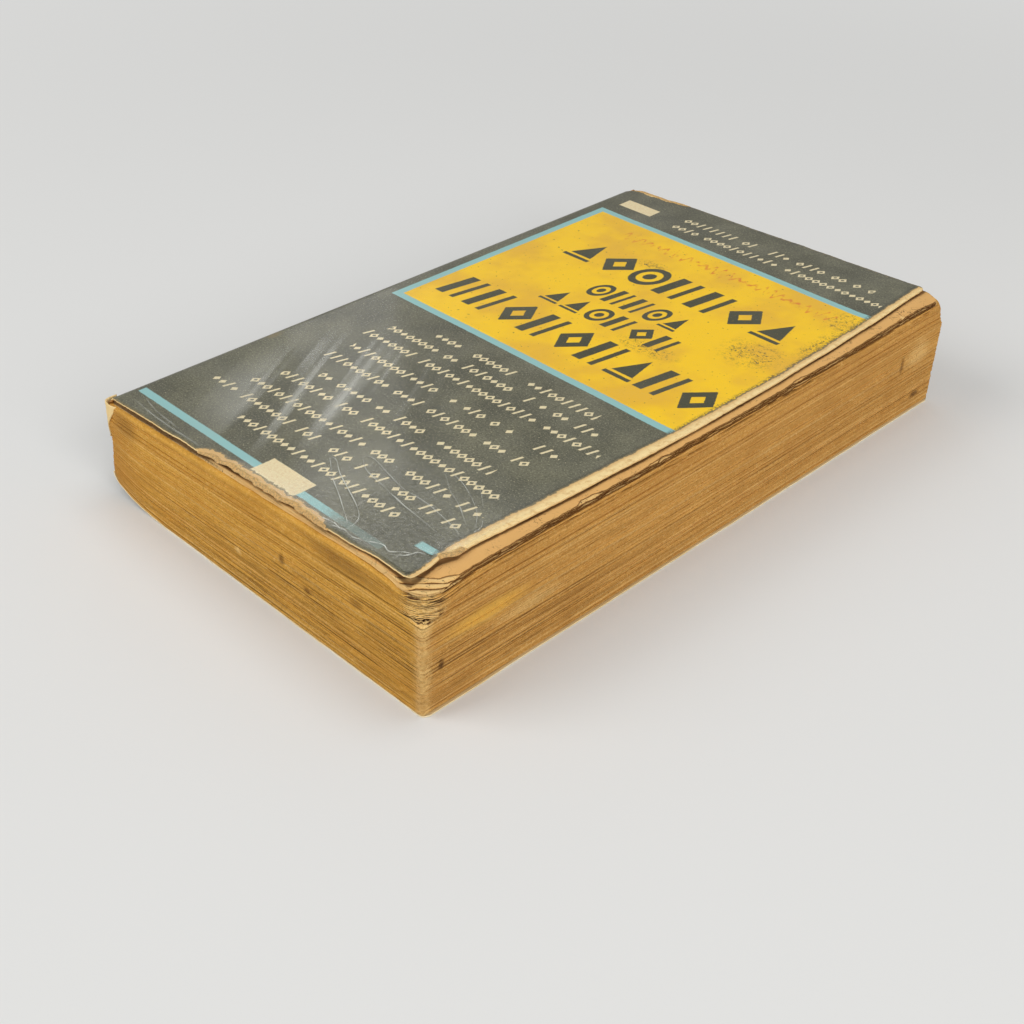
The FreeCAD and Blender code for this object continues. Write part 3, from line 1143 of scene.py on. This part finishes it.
def buildBottomLeaf():
    # the last leaf, seen when the back cover is opened
    spineX = blockSpineX(0) + bottomLeaf["spineSetback"]

    def place(across, along):
        y = (halfLength - bottomLeaf["setback"]) * (2 * along - 1)
        x = spineX + (halfWidth - bottomLeaf["setback"] - spineX) * across
        x += 0.15 * wobble(y * 0.2, 61.0) * across
        return x, y, leafHeight(0, x) - 0.05, x, y

    mesh = sheetGrid(bottomLeaf["columns"], bottomLeaf["rows"], place)
    distances = [min(halfWidth - vert.co.x, halfLength - abs(vert.co.y)) for vert in mesh.verts]
    piece = finishPiece(mesh, "bottomLeaf", [pageFace])
    pointValues(piece, "edgeDistance", distances)
    pointValues(piece, "beyondCover", [9.0] * len(distances))
    giveThickness(piece, looseLeaves["thickness"], 0.0)
    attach(piece, "book_block")


# Card wrap: one section line through both folds, cut into the pieces that move

wrap = {
    "foldRound": 0.7,
    "cornerRadius": 1.6,
}
frontCard = {
    "start": -3.2,
    "tailEdge": -87.6,
    "headEdge": 87.6,
    "foreEdge": 48.6,
    "foreBow": 3.0,
    "foreCrumples": [(0.5, -75.5, 2.0), (-0.4, -79.5, 2.6)],  # depth, place, width
    "foreLift": 0.4,
    "cornerCurl": (0.5, -78.3, 1.7),
    "tailLift": 0.25,
    "headBump": (4.2, 6.0),
    "spineHeadKept": 3.4,
    "peelDepth": 0.9,
    "peelWidth": 1.9,
    "peelLeft": -17.5,
    "peelRight": 20.0,
    "columns": 150,
    "rows": 230,
}
spineCard = {
    "tail": -87.6,
    "length": 174.6,
    "columns": 40,
    "rows": 120,
}
backCard = {
    "start": -2.2,
    "foreReach": 0.35,
    "endSetback": 0.15,
    "columns": 110,
    "rows": 120,
}


def spineCardX(z):
    foot = backFold[2]
    share = clampShare((z - foot) / (frontFold[2] - foot))
    return blockSpineX(share) - book["glue"] - book["card"] / 2


def roundedFold(distance, fold, straight):
    # a section line with its fold rounded off between its straight sides
    reach = wrap["foldRound"]
    if abs(distance) >= reach:
        return straight(distance)
    start, end = straight(-reach), straight(reach)
    part = (distance + reach) / (2 * reach)
    return start * (1 - part) ** 2 + fold * 2 * part * (1 - part) + end * part ** 2


def frontLine(distance):
    # section of the front cover by its distance from the fold, below 0 on the spine
    fold = Vector((frontFold[0], frontFold[2]))

    def straight(length):
        if length >= 0:
            return Vector((fold.x + length, frontHeight(fold.x + length)))
        return Vector((spineCardX(fold.y + length), fold.y + length))

    return roundedFold(distance, fold, straight)


def backLine(distance):
    fold = Vector((backFold[0], backFold[2]))

    def straight(length):
        if length >= 0:
            return Vector((fold.x + length, rollHeight(fold.x + length) + book["card"] / 2))
        return Vector((spineCardX(fold.y - length), fold.y - length))

    return roundedFold(distance, fold, straight)


def swelling(place, size, middle, width):
    return size * math.exp(-((place - middle) / width) ** 2)


def frontEdgeX(y):
    bow = frontCard["foreBow"] * (y / halfLength) ** 2
    crumple = sum(swelling(y, *values) for values in frontCard["foreCrumples"])
    worn = 0.25 * wobble(y * 0.07, 2.0) + 0.12 * wobble(y * 0.6, 4.0) + 0.08 * wobble(y * 1.9, 6.0)
    return frontCard["foreEdge"] - bow + worn + crumple


def frontTailY(x):
    worn = 0.2 * wobble(x * 0.15, 6.0) + 0.15 * wobble(x * 0.9, 8.0)
    peel = clampShare((x - frontCard["peelLeft"]) / 2) * clampShare((frontCard["peelRight"] - x) / 6)
    peel *= frontCard["peelDepth"]
    drawnIn = 0.9 * clampShare((x - 12) / 25)
    return frontCard["tailEdge"] + worn + drawnIn + peel * (0.7 + wobble(x * 0.3, 11.0))


def frontHeadY(x):
    depth, width = frontCard["headBump"]
    bumped = depth * clampShare(1 - (x - frontFold[0]) / width) ** 2
    torn = 0.9 * clampShare((x + 49) / 4) * clampShare((-29 - x) / 8)
    return frontCard["headEdge"] - bumped - torn + 0.2 * wobble(x * 0.2, 14.0) + 0.12 * wobble(x * 1.1, 17.0)


def frontLift(x, y):
    # the worn card stands a little off the leaves at its fore-edge and curls at its corners
    nearEdge = clampShare(1 - (frontEdgeX(y) - x) / 8) ** 2
    curl = swelling(y, *frontCard["cornerCurl"]) - 0.35 * clampShare((-80.5 - y) / 4)
    lift = nearEdge * (frontCard["foreLift"] + 0.2 * wobble(y * 0.045, 19.0) + curl)
    nearTail = clampShare(1 - (y - frontTailY(x)) / 6) ** 2
    lift += nearTail * (frontCard["tailLift"] + 0.3 * wobble(x * 0.08, 23.0)) * clampShare((x + 48) / 10)
    broad = 0.12 * wobble(x * 0.05, y * 0.05, 4.0)
    return lift + broad * clampShare((x - frontFold[0]) / 15)


def frontSheetPlace(rise, margin, startDistance):
    # rule for a sheet on the front cover, at a height over the card's middle
    span = frontEdgeX(0) - frontFold[0]

    def place(across, along):
        distance = startDistance + (span - startDistance) * across
        section = frontLine(distance)
        x = section.x
        y = -halfLength + 2 * halfLength * along
        if distance > 0:
            edge = frontEdgeX(y) - margin
            x = frontFold[0] + (edge - frontFold[0]) * distance / span
        tail = frontTailY(x) + margin
        head = frontHeadY(x) - margin + frontCard["spineHeadKept"] * clampShare(-distance / 1.2)
        y = tail + (head - tail) * along
        if distance > 0:
            radius = wrap["cornerRadius"]
            x, y = roundOff(x, y, frontEdgeX(y) - margin, ((-1, -tail, radius), (1, head, radius)))
        z = section.y if distance <= 0 else frontHeight(x)
        if 0 < distance < wrap["foldRound"]:
            z = section.y
        if distance > 0:
            part = clampShare(distance / 8)
            z += frontLift(x, y) - coverSink(x, y) * part
        if distance < wrap["foldRound"]:
            lean = clampShare((distance + wrap["foldRound"]) / (2 * wrap["foldRound"]))
            x -= rise * (1 - lean)
            z += rise * lean
        else:
            z += rise
        return x, y, z, (x if distance > wrap["foldRound"] else frontFold[0] + distance), y

    return place


def rimWidth(y):
    # how much wider than by the head the bare band along the fore-edge is
    wide = clampShare((30 - y) / 70)
    return 1.2 * wide * wide * (3 - 2 * wide) - 2.0 * clampShare((-75.5 - y) / 4)


def sheetDistances(mesh):
    fore = []
    ends = []
    peel = []
    for vert in mesh.verts:
        x, y = vert.co.x, vert.co.y
        fore.append(frontEdgeX(y) - x - rimWidth(y))
        ends.append(min(y - frontTailY(x), frontHeadY(x) - y))
        outside = max(frontCard["peelLeft"] - x, x - frontCard["peelRight"], 0.0)
        peel.append(y - frontTailY(x) - frontCard["peelWidth"] + outside)
    return fore, ends, peel


def buildFrontCard():
    place = frontSheetPlace(book["card"] / 2, 0.0, frontCard["start"])
    mesh = sheetGrid(frontCard["columns"], frontCard["rows"], place)
    fore, ends, peel = sheetDistances(mesh)
    piece = finishPiece(mesh, "frontCard", [printedFront, cardInside, cardEdge])
    pointValues(piece, "foreDistance", fore)
    pointValues(piece, "endDistance", ends)
    pointValues(piece, "peelDistance", peel)
    giveThickness(piece, book["card"], -1.0, 1, 2)
    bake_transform(piece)
    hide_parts("front_cover")


def buildSpineCard():
    low = backFold[2] - backCard["start"]
    high = frontFold[2] + frontCard["start"]

    def place(across, along):
        z = low + (high - low) * across
        y = spineCard["tail"] + spineCard["length"] * along + 0.2 * wobble(z * 0.5, along * 2, 1.0)
        x = spineCardX(z) - book["card"] / 2 + 0.05 * wobble(y * 0.1, z * 0.3)
        return x, y, z, z + frontFold[0] - frontFold[2], y

    mesh = sheetGrid(spineCard["columns"], spineCard["rows"], place)
    head = spineCard["tail"] + spineCard["length"]
    ends = [head - abs(vert.co.y) for vert in mesh.verts]
    piece = finishPiece(mesh, "spineCard", [oliveCard, cardInside, cardEdge])
    pointValues(piece, "endDistance", ends)
    pointValues(piece, "spineShare", [1.0] * len(ends))
    giveThickness(piece, book["card"], -1.0, 1, 2)
    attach(piece, "book_block")
    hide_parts("spine_cover")


def buildBackCard():
    span = halfWidth - backFold[0]
    start = backCard["start"]
    radius = wrap["cornerRadius"]

    def place(across, along):
        distance = start + (span - start) * across
        section = backLine(distance)
        tail = -halfLength + backCard["endSetback"] + 0.12 * wobble(distance * 0.3, 3.0)
        head = halfLength - backCard["endSetback"] - 0.12 * wobble(distance * 0.3, 7.0)
        y = tail + (head - tail) * along
        x = section.x
        reached, y = roundOff(distance, y, span, ((-1, -tail, radius), (1, head, radius)))
        x += reached - distance
        lean = clampShare((distance + wrap["foldRound"]) / (2 * wrap["foldRound"]))
        x -= book["card"] / 2 * (1 - lean)
        x += (backCard["foreReach"] + 0.12 * wobble(y * 0.06, 71.0)) * clampShare(1 - (span - distance) / 20)
        return x, y, section.y - book["card"] / 2 * lean, backFold[0] + distance, y

    mesh = sheetGrid(backCard["columns"], backCard["rows"], place)
    ends = [min(halfLength - abs(vert.co.y), halfWidth - vert.co.x) for vert in mesh.verts]
    onSpine = [1.0 if vert.co.z > backFold[2] else 0.0 for vert in mesh.verts]
    for face in mesh.faces:
        face.normal_flip()
    piece = finishPiece(mesh, "backCard", [oliveCard, cardInside, cardRim])
    pointValues(piece, "endDistance", ends)
    pointValues(piece, "spineShare", onSpine)
    giveThickness(piece, book["card"], -1.0, 1, 2)
    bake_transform(piece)
    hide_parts("back_cover")


spineCurl = {
    "turn": [(-51.75, -85.6), (-51.95, -87.4), (-51.4, -88.6), (-50.0, -89.0), (-48.6, -88.8),
             (-47.8, -88.3)],
    "foot": 15.0,
    "height": 9.7,
    "turnAtFoot": 0.35,
    "thickness": 0.3,
}


def buildSpineCurl():
    # the card's worn end, curled round the block at the tail
    def place(across, along):
        z = spineCurl["foot"] + spineCurl["height"] * along
        rolled = clampShare((along - 0.1) / 0.9) ** 1.5
        least = spineCurl["turnAtFoot"]
        here = alongCurve(spineCurl["turn"], across * (least + (1 - least) * rolled))
        x = here.x + 0.12 * wobble(z * 0.5, across * 2, 3.0)
        y = here.y + 0.12 * wobble(z * 0.6, across * 2, 7.0)
        return x, y, z - 0.5 * across * along + 0.12 * wobble(across * 3, 31.0) * along, x, y

    mesh = sheetGrid(24, 30, place)
    piece = finishPiece(mesh, "spineCurl", [cardEdge])
    giveThickness(piece, spineCurl["thickness"], 0.0)
    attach(piece, "book_block")


tornLips = {  # edge of the cover, first and last place along it, width, rise, lines
    "tailLip": ("tail", -18.0, 23.5, 1.9, 0.34, 220),
    "headLip": ("head", -49.0, -30.0, 1.4, 0.3, 110),
    "cornerLip": ("fore", -79.0, -72.8, 2.2, 0.5, 50),
}


def fromEdge(edge, x, y):
    # distance from one edge of the front cover to a place on it
    if edge == "tail":
        return y - frontTailY(x)
    if edge == "head":
        return frontHeadY(x) - y
    return frontEdgeX(y) - x


def buildTornLip(name):
    # a fuzzy strip where the card's layers have come apart, standing on the print
    edge, first, last, width, rise, lines = tornLips[name]

    def place(across, along):
        reached = first + (last - first) * along
        ends = clampShare(along * 8) * clampShare((1 - along) * 8)
        own = 0.85 + 0.4 * wobble(reached * 0.22, 3.0) + 0.16 * wobble(reached * 1.3, 5.0)
        own += 0.1 * wobble(reached * 4.1, 15.0)
        inward = across * width * own * (0.25 + 0.75 * ends) - 0.35
        if edge == "fore":
            x, y = frontEdgeX(reached) - inward, reached
        elif edge == "tail":
            x, y = reached, frontTailY(reached) + inward
        else:
            x, y = reached, frontHeadY(reached) - inward
        base = frontHeight(x) + book["card"] / 2 + frontLift(x, y) - coverSink(x, y)
        swell = math.sin(math.pi * across) ** 0.7 * (0.8 + 0.25 * wobble(reached * 0.3, across * 2, 9.0))
        fibre = 0.06 * wobble(reached * 1.7, across * 6) + 0.05 * wobble(reached * 6.3, across * 13, 4.0)
        z = base - 0.08 + rise * ends * swell + fibre * (1 + rise) - 0.5 * clampShare(0.25 - across)
        return x, y, z, x, y

    mesh = sheetGrid(14, lines, place)
    distances = [fromEdge(edge, vert.co.x, vert.co.y) for vert in mesh.verts]
    piece = finishPiece(mesh, name, [tornCard])
    pointValues(piece, "edgeDistance", distances)
    giveThickness(piece, 0.12, 0.0)
    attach(piece, "front_panel")


for index in range(len(looseLeaves["places"])):
    buildLooseLeaf(index)
buildBottomLeaf()
print("loose leaves made")
buildFrontCard()
buildSpineCard()
buildBackCard()
buildSpineCurl()
for lipName in tornLips:
    buildTornLip(lipName)
print("card wrap made")


# Clear film over the front print, creased where it has come loose near the tail corner

film = {
    "rise": 0.05,
    "margin": 0.9,
    "columns": 110,
    "rows": 120,
    "ripple": 0.22,
    "creaseHeight": 0.28,
    "creaseSteps": 14,
}
creases = [  # places along each crease, width, how white it is
    ([(2.9, -69.9), (8.5, -73.9), (14.9, -77.6), (21.6, -81.5), (24.9, -83.7)], 0.42, 0.75),
    ([(2.9, -69.9), (4.8, -69.8), (9.2, -72.4), (14.9, -75.1), (20.5, -77.8), (24.4, -80.4), (25.8, -83.2),
      (25.8, -85.9)], 0.42, 0.75),
    ([(7.2, -64.7), (11.4, -67.5), (15.4, -68.8), (21.7, -70.1), (27.2, -71.2), (33.3, -72.2),
      (40.6, -73.5)], 0.5, 0.55),
    ([(7.2, -64.7), (9.8, -63.9), (15.4, -65.4), (22.6, -67.2), (27.0, -67.4), (32.0, -67.9), (39.7, -69.7),
      (43.0, -71.1)], 0.5, 0.5),
    ([(24.3, -57.3), (29.4, -60.8), (35.3, -63.8), (41.1, -67.6)], 0.4, 0.5),
    ([(25.4, -56.2), (31.2, -58.1), (36.5, -61.0), (39.8, -63.4), (43.2, -67.1)], 0.4, 0.55),
    ([(42.0, -64.0), (43.6, -66.0), (44.0, -68.6)], 0.3, 0.7),
    ([(30.5, -85.6), (33.6, -83.9), (35.2, -83.4), (37.4, -84.0), (39.2, -82.2), (40.8, -81.2)], 0.5, 0.9),
    ([(38.0, -84.8), (40.4, -82.6), (41.3, -80.4), (43.4, -79.6)], 0.4, 0.7),
    ([(22.6, -86.2), (26.0, -85.4), (29.0, -85.8), (31.0, -84.8)], 0.5, 0.8),
    ([(19.0, -85.8), (22.4, -85.2), (25.8, -85.9)], 0.4, 0.8),
    ([(-46.0, -84.6), (-38.0, -85.7), (-28.0, -86.3), (-19.0, -86.5)], 0.9, 0.3),
    ([(-45.0, -82.6), (-37.0, -84.4), (-27.0, -85.4)], 0.7, 0.22),
    ([(30.0, -55.0), (34.5, -57.2), (38.6, -60.6)], 0.3, 0.35),
]


def stretched(share, turn, portion):
    # spends a portion of the grid's lines on the part of the sheet before turn
    if share < portion:
        return turn * share / portion
    return turn + (1 - turn) * (share - portion) / (1 - portion)


def filmRipple(x, y):
    loose = clampShare((-58 - y) / 25) * clampShare((x - 2) / 22)
    return loose * film["ripple"] * (0.5 + wobble(x * 0.13, y * 0.13, 8.0))


def buildCreases():
    # folds of the loose film: low ribbons along the curves above, pinched at their ends
    whole = bmesh.new()
    fadeLayer = whole.verts.layers.float.new("fade")
    for number, (points, width, white) in enumerate(creases):
        steps = film["creaseSteps"] * (len(points) - 1)
        made = bmesh.ops.create_grid(whole, x_segments=steps, y_segments=4, size=1.0)["verts"]
        for vert in made:
            share = (vert.co.x + 1) / 2
            side = vert.co.y
            here = alongCurve(points, share)
            ahead = alongCurve(points, min(1.0, share + 0.01)) - alongCurve(points, max(0.0, share - 0.01))
            across = Vector((-ahead.y, ahead.x)).normalized()
            own = 0.65 + 0.6 * wobble(share * 9, number * 3.1)
            pinch = clampShare(6 * share) * clampShare(6 * (1 - share))
            here = here + across * (side * width * own / 2 + 0.15 * wobble(share * 4, number))
            base = frontHeight(here.x) + book["card"] + film["rise"] + frontLift(here.x, here.y)
            base += filmRipple(here.x, here.y) - coverSink(here.x, here.y)
            ridge = (1 - side * side) * film["creaseHeight"] * own * pinch
            vert.co = Vector((here.x, here.y, base + 0.03 + ridge))
            patchy = clampShare(0.75 + wobble(share * 6, number * 5.3))
            vert[fadeLayer] = white * pinch * (1 - 0.8 * side * side) * patchy
    piece = finishPiece(whole, "filmCreases", [creasedFilm])
    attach(piece, "front_panel")


def buildFilm():
    place = frontSheetPlace(book["card"] / 2 + film["rise"], film["margin"], 0.9)

    def filmPlace(across, along):
        x, y, z, flatX, flatY = place(stretched(across, 0.48, 0.3), stretched(along, 0.62, 0.6))
        return x, y, z + filmRipple(x, y), flatX, flatY

    mesh = sheetGrid(film["columns"], film["rows"], filmPlace)
    piece = finishPiece(mesh, "filmSheet", [clearFilm])
    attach(piece, "front_panel")
    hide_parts("cover_film")


buildFilm()
buildCreases()
glueNode = frame["nodes"]["spine_glue"]
glueNode.data.materials.clear()
glueNode.data.materials.append(glueMaterial())
print("film and glue made")


# Floor, light and camera

stage = {
    "floorSize": 6.0,
    "floorColour": paint(226, 226, 224),
    "farColour": paint(228, 228, 227),
    "evenFrom": 200.0,
    "evenTo": 750.0,
    "lamps": [  # place, size, watts
        ((-0.6, -0.9, 0.9), 0.8, 7.5),
        ((0.9, -0.3, 0.6), 0.6, 4.6),
        ((0.1, 0.3, 1.3), 0.7, 3.6),
    ],
    "streak": ((-0.75, 0.52, 0.47), (0.1, 0.24), 0.16),
    "worldStrength": 0.35,
}


def aimAt(thing, target):
    direction = Vector(target) - thing.location
    thing.rotation_euler = direction.to_track_quat("-Z", "Y").to_euler()


def addLamp(name, place, size, watts, sizeY=None):
    data = bpy.data.lights.new(name, "AREA")
    data.energy = watts
    data.size = size
    if sizeY:
        data.shape = "RECTANGLE"
        data.size_y = sizeY
    lamp = bpy.data.objects.new(name, data)
    bpy.context.collection.objects.link(lamp)
    lamp.location = place
    aimAt(lamp, (0, 0, 0.015))


def buildStage():
    mesh = bmesh.new()
    bmesh.ops.create_grid(mesh, x_segments=1, y_segments=1, size=stage["floorSize"] / 2 / metre)
    material, shader = newMaterial("paleFloor", 0.9)
    shader.inputs["Base Color"].default_value = stage["floorColour"]
    x, y = split(objectPlace())[:2]
    away = calc("SQRT", plus(times(x, x), times(y, y)))
    seen = addNode("ShaderNodeLightPath").outputs["Is Camera Ray"]
    glow = addNode("ShaderNodeEmission")
    glow.inputs["Color"].default_value = stage["farColour"]
    blend = addNode("ShaderNodeMixShader")
    far = times(ramp(away, stage["evenFrom"], stage["evenTo"]), seen)
    for socket, value in zip(blend.inputs, (far, shader.outputs[0], glow.outputs[0])):
        feed(socket, value)
    feed(material.node_tree.nodes["Material Output"].inputs["Surface"], blend.outputs[0])
    finishPiece(mesh, "floor", [material], smooth=False)
    for number, (place, size, watts) in enumerate(stage["lamps"]):
        addLamp("lamp%d" % (number + 1), place, size, watts)
    place, (width, length), watts = stage["streak"]
    addLamp("streakLamp", place, width, watts, length)
    world = bpy.data.worlds.new("paleRoom")
    world.use_nodes = True
    making["tree"] = world.node_tree
    background = world.node_tree.nodes["Background"]
    background.inputs["Color"].default_value = (1, 1, 1, 1)
    seen = addNode("ShaderNodeLightPath").outputs["Is Camera Ray"]
    shown = stage["farColour"][0]
    strength = scaled(seen, shown - stage["worldStrength"], stage["worldStrength"])
    feed(background.inputs["Strength"], strength)
    bpy.context.scene.world = world


photoView = {
    "place": (0.2118, -0.2357, 0.20234),
    "turn": (54.74, -2.0, 44.77),
    "lens": 53.93,
}


def buildCamera():
    data = bpy.data.cameras.new("photoCamera")
    data.lens = photoView["lens"]
    data.sensor_width = 36.0
    data.clip_start = 0.01
    camera = bpy.data.objects.new("photoCamera", data)
    bpy.context.collection.objects.link(camera)
    camera.location = photoView["place"]
    camera.rotation_euler = [math.radians(angle) for angle in photoView["turn"]]
    bpy.context.scene.camera = camera


buildStage()
buildCamera()
bpy.context.scene.view_settings.view_transform = "Standard"
print("stage made")

bpy.context.view_layer.update()
